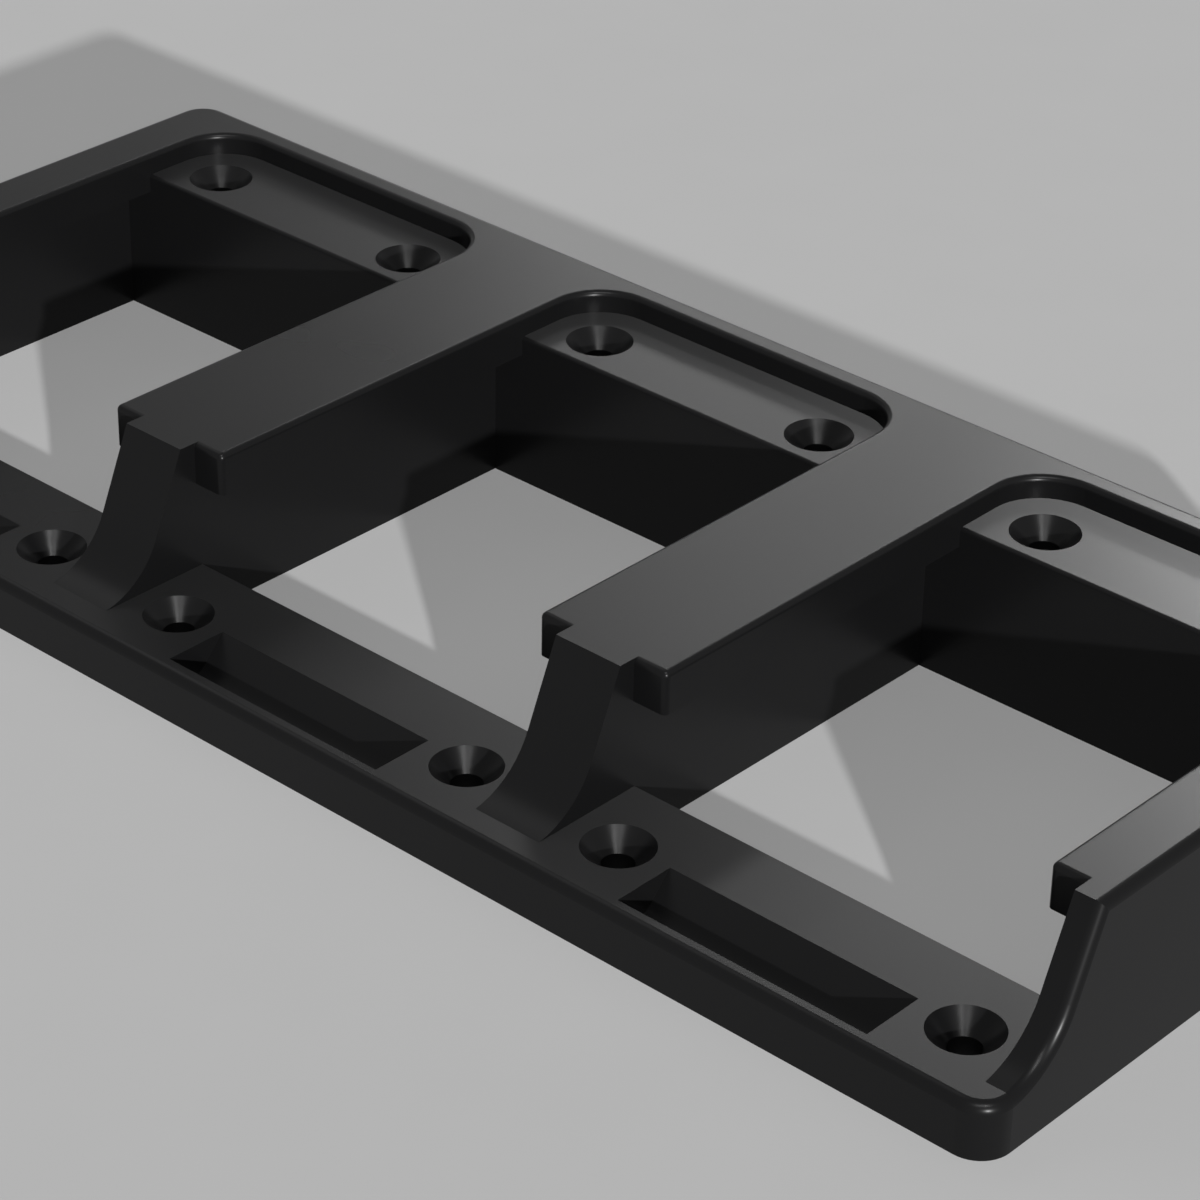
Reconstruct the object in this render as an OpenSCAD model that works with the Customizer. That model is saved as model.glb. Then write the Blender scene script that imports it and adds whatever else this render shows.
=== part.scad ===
// Wall mount for slide-in battery packs, moulded in one piece.
// It lies on its wall face: X runs along the row of bays, Y towards the
// closed end, Z out of the wall. The origin is the middle of the wall face.

/* [Row of bays] */
// Number of packs held side by side
bay_count = 3; // [1:1:4]
// Distance from the centre of one bay to the next
bay_pitch = 77; // [68:0.5:110]
// Opening between the two lips of a bay
neck_width = 56.4; // [52:0.1:65]
// How far each lip stands over the channel below it
lip_overhang = 5.1; // [2.6:0.1:8]
// Thickness of each lip
lip_thickness = 6; // [3:0.1:9]
// Thickness of the web of each end wall
end_web = 4.1; // [3:0.1:12]

/* [Body] */
// Size from the open end to the closed end
body_depth = 97.1; // [70:0.1:160]
// Height out of the wall
body_height = 25.9; // [24:0.1:45]
// Radius of the four upright corners
corner_radius = 4.4; // [2:0.1:6]
// Rounding of the outer top edge
edge_round = 1.3; // [0.5:0.1:2]
// Angle at which that rounding meets the faces beside it
edge_meet = 5; // [3:1:10]
// Rounding of the lips and of the recess rims
lip_round = 0.8; // [0.3:0.1:1.5]

/* [Front bar and sweep] */
// Height of the bar across the open end
bar_height = 7.5; // [5:0.1:12]
// Depth of the bar across the open end
bar_depth = 21.5; // [16:0.1:32]
// Straight run from the upright front corner to the foot of each sweep
foot_gap = 0.2; // [0.1:0.1:2]
// Lean of the straight upper part of the sweep, from upright
sweep_lean = 23; // [5:1:30]
// Radius of the hollow lower part of the sweep
sweep_radius = 11.5; // [6:0.1:15]
// Steepness of the sweep where it meets the bar
foot_angle = 8; // [3:1:20]
// Distance from the front face to the ends of the lips
lip_start = 20.9; // [19:0.1:36]

/* [Ledge at the closed end] */
// Height of the screw ledge out of the wall
ledge_height = 22.7; // [10:0.1:24.5]
// Depth of the screw ledge, measured to the back face
ledge_depth = 19.6; // [18.5:0.1:32]
// Rounding of the front edge of the ledge
ledge_round = 0.5; // [0.3:0.1:1.5]
// Thickness of the rim behind each ledge
rim_thickness = 4.1; // [2.4:0.1:8]
// Radius of the two back corners of each recess
recess_radius = 8; // [3:0.1:12]

/* [Latch pockets] */
// Width of the latch pocket in the front bar
pocket_width = 37.2; // [16:0.1:42]
// Distance from the front face to the upright wall of the pocket
pocket_front = 2.3; // [1.8:0.1:4.2]
// Distance from the front face to the back edge of the pocket
pocket_back = 11.5; // [9.5:0.1:15]
// Thickness left under the pocket
pocket_skin = 2.5; // [1.2:0.1:4]
// Lean of the ramp of the pocket, from upright
ramp_lean = 43; // [20:1:55]
// Radius where the ramp runs out into the pocket floor
ramp_radius = 5; // [2:0.1:6]

/* [Screw holes] */
// Diameter of the screw bores
bore_diameter = 4.2; // [3:0.1:6]
// Diameter of the countersinks at their top
sink_diameter = 9.4; // [7:0.1:12]
// Depth of the conical countersinks
sink_depth = 2.5; // [1.5:0.1:4]
// Spacing of the two screws in the front bar of a bay
bar_screw_spacing = 52; // [47:0.5:57]
// Distance from the front face to the front screws
bar_screw_inset = 10.6; // [8:0.1:16]
// Spacing of the two screws in the ledge of a bay
ledge_screw_spacing = 39.5; // [24:0.5:46]
// Distance from the back face to the ledge screws
ledge_screw_inset = 12.9; // [9.5:0.1:14.2]

/* [Hidden] */

body_colour = [0.1, 0.1, 0.105];
over = 1;          // how far a cut runs past the face it opens
blend = 0.005;     // how far a slope stands in front of the arc it runs out into
round_steps = 24;  // steps of a full turn on the small roundings
arc_steps = 72;    // steps of a full turn on the large arcs
bore_steps = 40;   // steps of a full turn on the screw holes

neck_half = neck_width / 2;
channel_width = neck_width + 2 * lip_overhang;
row_length = (bay_count - 1) * bay_pitch;
body_length = row_length + channel_width + 2 * end_web;

front_y = -body_depth / 2;
back_y = body_depth / 2;
end_x = body_length / 2;
bar_back_y = front_y + bar_depth;
lip_start_y = front_y + lip_start;
ledge_front_y = back_y - ledge_depth;
recess_back_y = back_y - rim_thickness;
recess_turn_y = recess_back_y - recess_radius;
lip_underside = body_height - lip_thickness;

// The sweep is a hollow arc that starts at the foot and runs out into a
// straight slope. All of it is worked out from the foot, the radius and the lean.
foot_y = front_y + corner_radius + foot_gap;
sweep_centre_y = foot_y - sweep_radius * sin(foot_angle);
sweep_centre_z = bar_height + sweep_radius * cos(foot_angle);
sweep_tangent_y = sweep_centre_y + sweep_radius * cos(sweep_lean);
sweep_tangent_z = sweep_centre_z - sweep_radius * sin(sweep_lean);
sweep_slope_length = (body_height + over - sweep_tangent_z) / cos(sweep_lean) + sweep_radius;
wall_front_y = front_y + corner_radius + foot_gap / 2;

// The pocket uses the same kind of curve: a straight ramp from its back edge
// that runs out through an arc into the flat pocket floor.
ramp_centre_z = pocket_skin + ramp_radius;
ramp_tangent_z = ramp_centre_z - ramp_radius * sin(ramp_lean);
ramp_tangent_y = front_y + pocket_back - (bar_height - ramp_tangent_z) * tan(ramp_lean);
ramp_centre_y = ramp_tangent_y - ramp_radius * cos(ramp_lean);
ramp_slope_length = (bar_height + over - ramp_tangent_z) / cos(ramp_lean) + over;

// Centre of a bay along the row.
function bay_x(i) = i * bay_pitch - row_length / 2;

// Block from a low corner to a high corner.
module block(low, high) {
    translate(low)
        cube(high - low);
}

// Turns a flat outline drawn in Y and Z into a bar along X.
module along_row(from_x, to_x) {
    translate([from_x, 0, 0])
        rotate([90, 0, 90])
            linear_extrude(to_x - from_x)
                children();
}

// Turns a flat outline drawn in X and Z into a bar along Y.
module along_depth(from_y, to_y) {
    translate([0, to_y, 0])
        rotate([90, 0, 0])
            linear_extrude(to_y - from_y)
                children();
}

// Repeats something on the left-hand and the right-hand side.
module both_sides() {
    children();
    mirror([1, 0, 0])
        children();
}

// What a rounding takes off an edge. The edge is at the origin and the solid
// fills the quarter below it and to the left. The round meets both faces at the
// given angle, so 0 makes it run out smoothly.
module edge_profile(radius, meet = 0) {
    round_radius = radius / (cos(meet) - sin(meet));
    reach = round_radius * cos(meet);
    difference() {
        translate([-reach, -reach])
            square(reach + over);
        translate([-reach, -reach])
            circle(round_radius, $fn = round_steps);
    }
}

// The same with the solid below and to the right.
module mirrored_edge_profile(radius, meet = 0) {
    mirror([1, 0])
        edge_profile(radius, meet);
}

// Rounding of the top edge of a quarter turn that bulges outwards.
module round_outer_corner(radius, turn_radius, meet = 0, steps = arc_steps) {
    rotate_extrude(angle = 90, $fn = steps)
        translate([turn_radius, 0])
            edge_profile(radius, meet);
}

// Rounding of the top edge of a quarter turn that is hollow.
module round_hollow_corner(radius, turn_radius) {
    rotate_extrude(angle = 90, $fn = arc_steps)
        translate([turn_radius, 0])
            mirrored_edge_profile(radius);
}

// Outline on the wall between two distances, with round corners at one end.
module outline(square_y, round_y) {
    turn_y = round_y - sign(round_y) * corner_radius;
    turn_x = end_x - corner_radius;
    translate([-end_x, min(square_y, turn_y)])
        square([body_length, abs(turn_y - square_y)]);
    translate([-turn_x, min(turn_y, round_y)])
        square([2 * turn_x, corner_radius]);
    for (sx = [-1, 1])
        translate([sx * turn_x, turn_y])
            circle(corner_radius, $fn = arc_steps);
}

// Places something on the line where a hollow arc runs out into its slope.
// There Z points up the slope and Y into the solid behind it.
module on_slope(centre_y, centre_z, radius, lean) {
    translate([0, centre_y + radius * cos(lean), centre_z - radius * sin(lean)])
        rotate([-lean, 0, 0])
            children();
}

// Room in front of a slope and inside the hollow arc below it.
module sweep_room(from_x, to_x, centre_y, centre_z, radius, lean, slope_length, floor_z) {
    reach = 3 * radius;
    on_slope(centre_y, centre_z, radius, lean)
        block([from_x, -reach, 0], [to_x, -blend, slope_length]);
    intersection() {
        on_slope(centre_y, centre_z, radius, lean)
            translate([from_x, -radius, 0])
                rotate([0, 90, 0])
                    cylinder(h = to_x - from_x, r = radius, $fn = arc_steps);
        block([from_x - over, centre_y - over, floor_z],
              [to_x + over, centre_y + radius + over, centre_z]);
    }
}

// Open way of one bay: the window, the channel under the lips and the neck.
module bay_way() {
    channel_half = channel_width / 2;
    block([-channel_half, bar_back_y, -over], [channel_half, ledge_front_y, lip_underside]);
    block([-channel_half, front_y - over, bar_height], [channel_half, bar_back_y, lip_underside]);
    block([-channel_half, front_y - over, lip_underside],
          [channel_half, lip_start_y, body_height + over]);
    block([-neck_half, lip_start_y, lip_underside],
          [neck_half, ledge_front_y, body_height + over]);
}

// Recess above the ledge with its two round back corners.
module ledge_recess() {
    inner_half = neck_half - recess_radius;
    block([-neck_half, ledge_front_y, ledge_height],
          [neck_half, recess_turn_y, body_height + over]);
    block([-inner_half, recess_turn_y, ledge_height],
          [inner_half, recess_back_y, body_height + over]);
    for (sx = [-1, 1])
        translate([sx * inner_half, recess_turn_y, ledge_height])
            cylinder(h = body_height - ledge_height + over, r = recess_radius, $fn = arc_steps);
}

// Pocket for the catch of a pack: an upright wall in front, a ramp behind.
module latch_pocket() {
    half = pocket_width / 2;
    wall_y = front_y + pocket_front;
    intersection() {
        sweep_room(-half, half, ramp_centre_y, ramp_centre_z, ramp_radius, ramp_lean,
                   ramp_slope_length, pocket_skin - over);
        block([-half - over, wall_y, pocket_skin - 2 * over],
              [half + over, bar_back_y, body_height]);
    }
    block([-half, wall_y, pocket_skin], [half, ramp_centre_y, bar_height + over]);
}

// Screw hole with its countersink opening at the given height.
module screw_hole(top_z) {
    translate([0, 0, -over])
        cylinder(h = top_z + over, d = bore_diameter, $fn = bore_steps);
    translate([0, 0, top_z - sink_depth])
        cylinder(h = sink_depth, d1 = bore_diameter, d2 = sink_diameter, $fn = bore_steps);
    translate([0, 0, top_z])
        cylinder(h = over, d = sink_diameter, $fn = bore_steps);
}

// The four screw holes of one bay.
module bay_screws() {
    for (sx = [-1, 1]) {
        translate([sx * bar_screw_spacing / 2, front_y + bar_screw_inset, 0])
            screw_hole(bar_height);
        translate([sx * ledge_screw_spacing / 2, back_y - ledge_screw_inset, 0])
            screw_hole(ledge_height);
    }
}

// Rounding of one lip: its upright front corner, its front edge and its long
// inner edge, which runs on round the recess corner to the middle of the rim.
module lip_edge() {
    translate([neck_half, lip_start_y, lip_underside - over])
        linear_extrude(lip_thickness - lip_round + over)
            rotate(180)
                edge_profile(lip_round);
    translate([neck_half + lip_round, lip_start_y + lip_round, body_height])
        rotate([0, 0, 180])
            round_outer_corner(lip_round, lip_round, 0, round_steps);
    along_row(neck_half + lip_round, channel_width / 2)
        translate([lip_start_y, body_height])
            mirrored_edge_profile(lip_round);
    along_depth(lip_start_y + lip_round, recess_turn_y)
        translate([neck_half, body_height])
            mirrored_edge_profile(lip_round);
    translate([neck_half - recess_radius, recess_turn_y, body_height])
        round_hollow_corner(lip_round, recess_radius);
    along_row(0, neck_half - recess_radius)
        translate([recess_back_y, body_height])
            mirrored_edge_profile(lip_round);
}

// Rounding of the front edge of a ledge.
module ledge_edge() {
    along_row(-neck_half, neck_half)
        translate([ledge_front_y, ledge_height])
            mirrored_edge_profile(ledge_round);
}

// Rounding of the outer edge on one end wall. It follows the top and comes
// down the sweep, where the slope and the arc each have their own stretch.
module end_wall_edge() {
    spare = 3;
    translate([end_x - corner_radius, back_y - corner_radius, body_height])
        round_outer_corner(edge_round, corner_radius, edge_meet);
    along_depth(foot_y, back_y - corner_radius)
        translate([end_x, body_height])
            edge_profile(edge_round, edge_meet);
    on_slope(sweep_centre_y, sweep_centre_z, sweep_radius, sweep_lean) {
        translate([end_x, -blend, 0])
            linear_extrude(sweep_slope_length)
                mirror([0, 1])
                    edge_profile(edge_round, edge_meet);
        translate([0, -sweep_radius, 0])
            rotate([90, 0, 90])
                rotate([0, 0, sweep_lean - 90])
                    rotate_extrude(angle = 90 - sweep_lean + spare, $fn = arc_steps)
                        translate([sweep_radius, end_x])
                            mirrored_edge_profile(edge_round, edge_meet);
    }
}

// The low bar across the open end, with its outer top edge rounded.
module front_bar() {
    turn_x = end_x - corner_radius;
    turn_y = front_y + corner_radius;
    difference() {
        linear_extrude(bar_height)
            outline(bar_back_y, front_y);
        along_row(-turn_x, turn_x)
            translate([front_y, bar_height])
                mirrored_edge_profile(edge_round, edge_meet);
        both_sides() {
            translate([turn_x, turn_y, bar_height])
                rotate([0, 0, -90])
                    round_outer_corner(edge_round, corner_radius, edge_meet);
            along_depth(turn_y, bar_back_y + over)
                translate([end_x, bar_height])
                    edge_profile(edge_round, edge_meet);
        }
    }
}

// The full-height body behind the sweep, still without its bays.
module raised_body() {
    turn_x = end_x - corner_radius;
    difference() {
        difference() {
            linear_extrude(body_height)
                outline(wall_front_y, back_y);
            sweep_room(-end_x - over, end_x + over, sweep_centre_y, sweep_centre_z,
                       sweep_radius, sweep_lean, sweep_slope_length, 0);
        }
        along_row(-turn_x, turn_x)
            translate([back_y, body_height])
                edge_profile(edge_round, edge_meet);
        both_sides() end_wall_edge();
    }
}

// Everything that is taken out for one bay.
module bay_cuts() {
    bay_way();
    ledge_recess();
    latch_pocket();
    bay_screws();
    both_sides() lip_edge();
    ledge_edge();
}

module mount_body() {
    color(body_colour)
        difference() {
            union() {
                front_bar();
                raised_body();
            }
            for (i = [0:bay_count - 1])
                translate([bay_x(i), 0, 0])
                    bay_cuts();
        }
}

mount_body();
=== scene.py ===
import math

import bpy
from mathutils import Matrix, Vector

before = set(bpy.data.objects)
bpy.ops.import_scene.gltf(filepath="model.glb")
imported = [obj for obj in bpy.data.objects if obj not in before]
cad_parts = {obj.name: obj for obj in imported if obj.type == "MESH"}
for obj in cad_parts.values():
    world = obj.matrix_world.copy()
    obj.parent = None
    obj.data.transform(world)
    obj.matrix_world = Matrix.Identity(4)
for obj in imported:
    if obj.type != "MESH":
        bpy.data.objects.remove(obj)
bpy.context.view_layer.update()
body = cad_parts["mount_body"]


# camera, from the front right and above, with lengths in metres and angles in degrees
cameraSettings = {
    "target": (0.01233, 0.00101, 0.00885),
    "azimuth": 41.909,       # 0 looks along +Y and 90 along -X
    "elevation": 30.589,
    "roll": 1.13,
    "distance": 0.51147,
    "lens": 117.92,          # mm, a long view
    "sensor": 36,            # mm
    "clipStart": 0.01,
    "clipEnd": 20,
}


# points from the middle of the scene to where a camera or lamp stands
def direction(azimuth, elevation):
    az = math.radians(azimuth)
    el = math.radians(elevation)
    return Vector((math.sin(az) * math.cos(el), -math.cos(az) * math.cos(el), math.sin(el)))


def makeCamera(s):
    back = direction(s["azimuth"], s["elevation"])
    right = (-back).cross(Vector((0, 0, 1))).normalized()
    up = right.cross(-back)
    roll = math.radians(s["roll"])
    rolledRight = right * math.cos(roll) + up * math.sin(roll)
    rolledUp = up * math.cos(roll) - right * math.sin(roll)
    turn = Matrix((rolledRight, rolledUp, back)).transposed()
    camera = bpy.data.objects.new("camera", bpy.data.cameras.new("camera"))
    bpy.context.scene.collection.objects.link(camera)
    camera.matrix_world = Matrix.Translation(Vector(s["target"]) + back * s["distance"]) @ turn.to_4x4()
    camera.data.sensor_width = s["sensor"]
    camera.data.lens = s["lens"]
    camera.data.clip_start = s["clipStart"]
    camera.data.clip_end = s["clipEnd"]
    bpy.context.scene.camera = camera


makeCamera(cameraSettings)
print("camera placed")


# helpers for node trees, which are laid out in columns and rows
nodeStep = {"across": 260, "down": 240}


def addNode(tree, kind, column, row=0, **values):
    node = tree.nodes.new(kind)
    node.location = (column * nodeStep["across"], -row * nodeStep["down"])
    for name, value in values.items():
        setattr(node, name, value)
    return node


def setInputs(node, **values):
    for name, value in values.items():
        node.inputs[name.replace("_", " ")].default_value = value


def newMaterial(name):
    material = bpy.data.materials.new(name)
    material.use_nodes = True
    tree = material.node_tree
    tree.nodes.clear()
    out = addNode(tree, "ShaderNodeOutputMaterial", 5)
    shader = addNode(tree, "ShaderNodeBsdfPrincipled", 4)
    tree.links.new(shader.outputs["BSDF"], out.inputs["Surface"])
    return material, tree, shader


# soft clouds between a dark and a light tone, for the plastic and the floor
cloudSockets = {
    "INPUT": {"Vector": "Vector", "Scale": "Float", "Detail": "Float", "Dark": "Color", "Light": "Color"},
    "OUTPUT": {"Tone": "Color", "Mask": "Float"},
}


def makeCloudedTone(sockets):
    group = bpy.data.node_groups.new("cloudedTone", "ShaderNodeTree")
    for side, kinds in sockets.items():
        for name, kind in kinds.items():
            group.interface.new_socket(name, in_out=side, socket_type="NodeSocket" + kind)
    given = addNode(group, "NodeGroupInput", 0)
    clouds = addNode(group, "ShaderNodeTexNoise", 1)
    tone = addNode(group, "ShaderNodeMix", 2, data_type="RGBA")
    made = addNode(group, "NodeGroupOutput", 3)
    for name in ("Vector", "Scale", "Detail"):
        group.links.new(given.outputs[name], clouds.inputs[name])
    group.links.new(clouds.outputs["Fac"], tone.inputs["Factor"])
    group.links.new(given.outputs["Dark"], tone.inputs["A"])
    group.links.new(given.outputs["Light"], tone.inputs["B"])
    group.links.new(tone.outputs["Result"], made.inputs["Tone"])
    group.links.new(clouds.outputs["Fac"], made.inputs["Mask"])
    return group


cloudedTone = makeCloudedTone(cloudSockets)


# places that group in a material with the material's own values
def addClouds(tree, s):
    coords = addNode(tree, "ShaderNodeTexCoord", 0)
    clouds = addNode(tree, "ShaderNodeGroup", 1, node_tree=cloudedTone)
    setInputs(clouds, Scale=s["cloudScale"], Detail=s["cloudDetail"], Dark=s["dark"], Light=s["light"])
    tree.links.new(coords.outputs["Object"], clouds.inputs["Vector"])
    return coords, clouds


# black moulded plastic, satin, with faint clouding and a very fine even grain
plasticSettings = {
    "dark": (0.004, 0.004, 0.0042, 1),
    "light": (0.0064, 0.0064, 0.0066, 1),
    "cloudScale": 22,
    "cloudDetail": 3,
    "cloudRange": (0.3, 0.7),      # darkest and lightest cloud that the roughness follows
    "roughness": (0.27, 0.31),     # there, in the same order
    "specular": 0.13,
    "grainScale": 2600,
    "grainDetail": 2,
    "grainStrength": 0.04,
    "grainDepth": 0.00002,         # metres
}


def makePlastic(s):
    material, tree, shader = newMaterial("blackSatinPlastic")
    coords, clouds = addClouds(tree, s)
    tree.links.new(clouds.outputs["Tone"], shader.inputs["Base Color"])
    rough = addNode(tree, "ShaderNodeMapRange", 2)
    setInputs(rough, From_Min=s["cloudRange"][0], From_Max=s["cloudRange"][1])
    setInputs(rough, To_Min=s["roughness"][0], To_Max=s["roughness"][1])
    tree.links.new(clouds.outputs["Mask"], rough.inputs["Value"])
    tree.links.new(rough.outputs["Result"], shader.inputs["Roughness"])
    grain = addNode(tree, "ShaderNodeTexNoise", 2, 1)
    setInputs(grain, Scale=s["grainScale"], Detail=s["grainDetail"])
    tree.links.new(coords.outputs["Object"], grain.inputs["Vector"])
    bump = addNode(tree, "ShaderNodeBump", 3, 1)
    setInputs(bump, Strength=s["grainStrength"], Distance=s["grainDepth"])
    tree.links.new(grain.outputs["Fac"], bump.inputs["Height"])
    tree.links.new(bump.outputs["Normal"], shader.inputs["Normal"])
    setInputs(shader, Specular_IOR_Level=s["specular"])
    return material


plastic = makePlastic(plasticSettings)
for slot in body.material_slots:
    slot.material = plastic
print("plastic on the mount,", len(body.material_slots), "slots")


# floor, matt and pale grey
floorSettings = {
    "dark": (0.4545, 0.4545, 0.4545, 1),
    "light": (0.4655, 0.4655, 0.4655, 1),
    "cloudScale": 60,
    "cloudDetail": 2,
    "roughness": 0.9,
    "specular": 0,
    "halfSize": 4,       # metres
}


def makeFloor(s):
    half = s["halfSize"]
    corners = [(-half, -half, 0), (half, -half, 0), (half, half, 0), (-half, half, 0)]
    mesh = bpy.data.meshes.new("floor")
    mesh.from_pydata(corners, [], [(0, 1, 2, 3)])
    floor = bpy.data.objects.new("floor", mesh)
    bpy.context.scene.collection.objects.link(floor)
    material, tree, shader = newMaterial("paleFloor")
    coords, clouds = addClouds(tree, s)
    tree.links.new(clouds.outputs["Tone"], shader.inputs["Base Color"])
    setInputs(shader, Roughness=s["roughness"], Specular_IOR_Level=s["specular"])
    mesh.materials.append(material)


makeFloor(floorSettings)
print("floor laid")


# Each lamp: azimuth and elevation, strength, width in degrees, and whether it casts a shadow.
# The sheen lamps stand behind and show in the flat tops, the fill lamps show in the screw holes.
lampSettings = {
    "keyLamp": (58, 15.2, 4.15, 1.2, True),
    "sheenLow": (208, 26, 0.68, 6, False),
    "sheenSide": (220, 20, 0.115, 6, False),
    "sheenTop": (218, 36, 0.074, 6, False),
    "sheenBack": (258, 52, 0.13, 24, False),
    "fillLeft": (30, 60, 0.46, 8, False),
    "fillRight": (60, 60, 0.82, 8, False),
}


def makeLamp(name, azimuth, elevation, strength, width, castsShadow):
    lamp = bpy.data.objects.new(name, bpy.data.lights.new(name, "SUN"))
    bpy.context.scene.collection.objects.link(lamp)
    lamp.rotation_mode = "QUATERNION"
    lamp.rotation_quaternion = (-direction(azimuth, elevation)).to_track_quat("-Z", "Y")
    lamp.data.energy = strength
    lamp.data.angle = math.radians(width)
    lamp.data.use_shadow = castsShadow


for name, values in lampSettings.items():
    makeLamp(name, *values)
print(len(lampSettings), "lamps placed")


# even light from all around, and a backdrop as pale as the floor for rays that go past it
roomSettings = {
    "colour": (1, 1, 1, 1),
    "light": 0.14,       # strength of the light on the mount and the floor
    "seen": 0.456,       # strength of the backdrop
}


def makeRoom(s):
    room = bpy.data.worlds.new("softRoom")
    bpy.context.scene.world = room
    room.use_nodes = True
    tree = room.node_tree
    background = tree.nodes["Background"]
    setInputs(background, Color=s["colour"])
    path = addNode(tree, "ShaderNodeLightPath", -4)
    seesRoom = path.outputs["Is Camera Ray"]
    for column, ray in ((-3, "Is Glossy Ray"), (-2, "Is Transmission Ray")):
        either = addNode(tree, "ShaderNodeMath", column, operation="MAXIMUM")
        tree.links.new(seesRoom, either.inputs[0])
        tree.links.new(path.outputs[ray], either.inputs[1])
        seesRoom = either.outputs["Value"]
    level = addNode(tree, "ShaderNodeMapRange", -1)
    setInputs(level, To_Min=s["light"], To_Max=s["seen"])
    tree.links.new(seesRoom, level.inputs["Value"])
    tree.links.new(level.outputs["Result"], background.inputs["Strength"])


makeRoom(roomSettings)
bpy.context.scene.view_settings.view_transform = "Standard"
print("room ready")
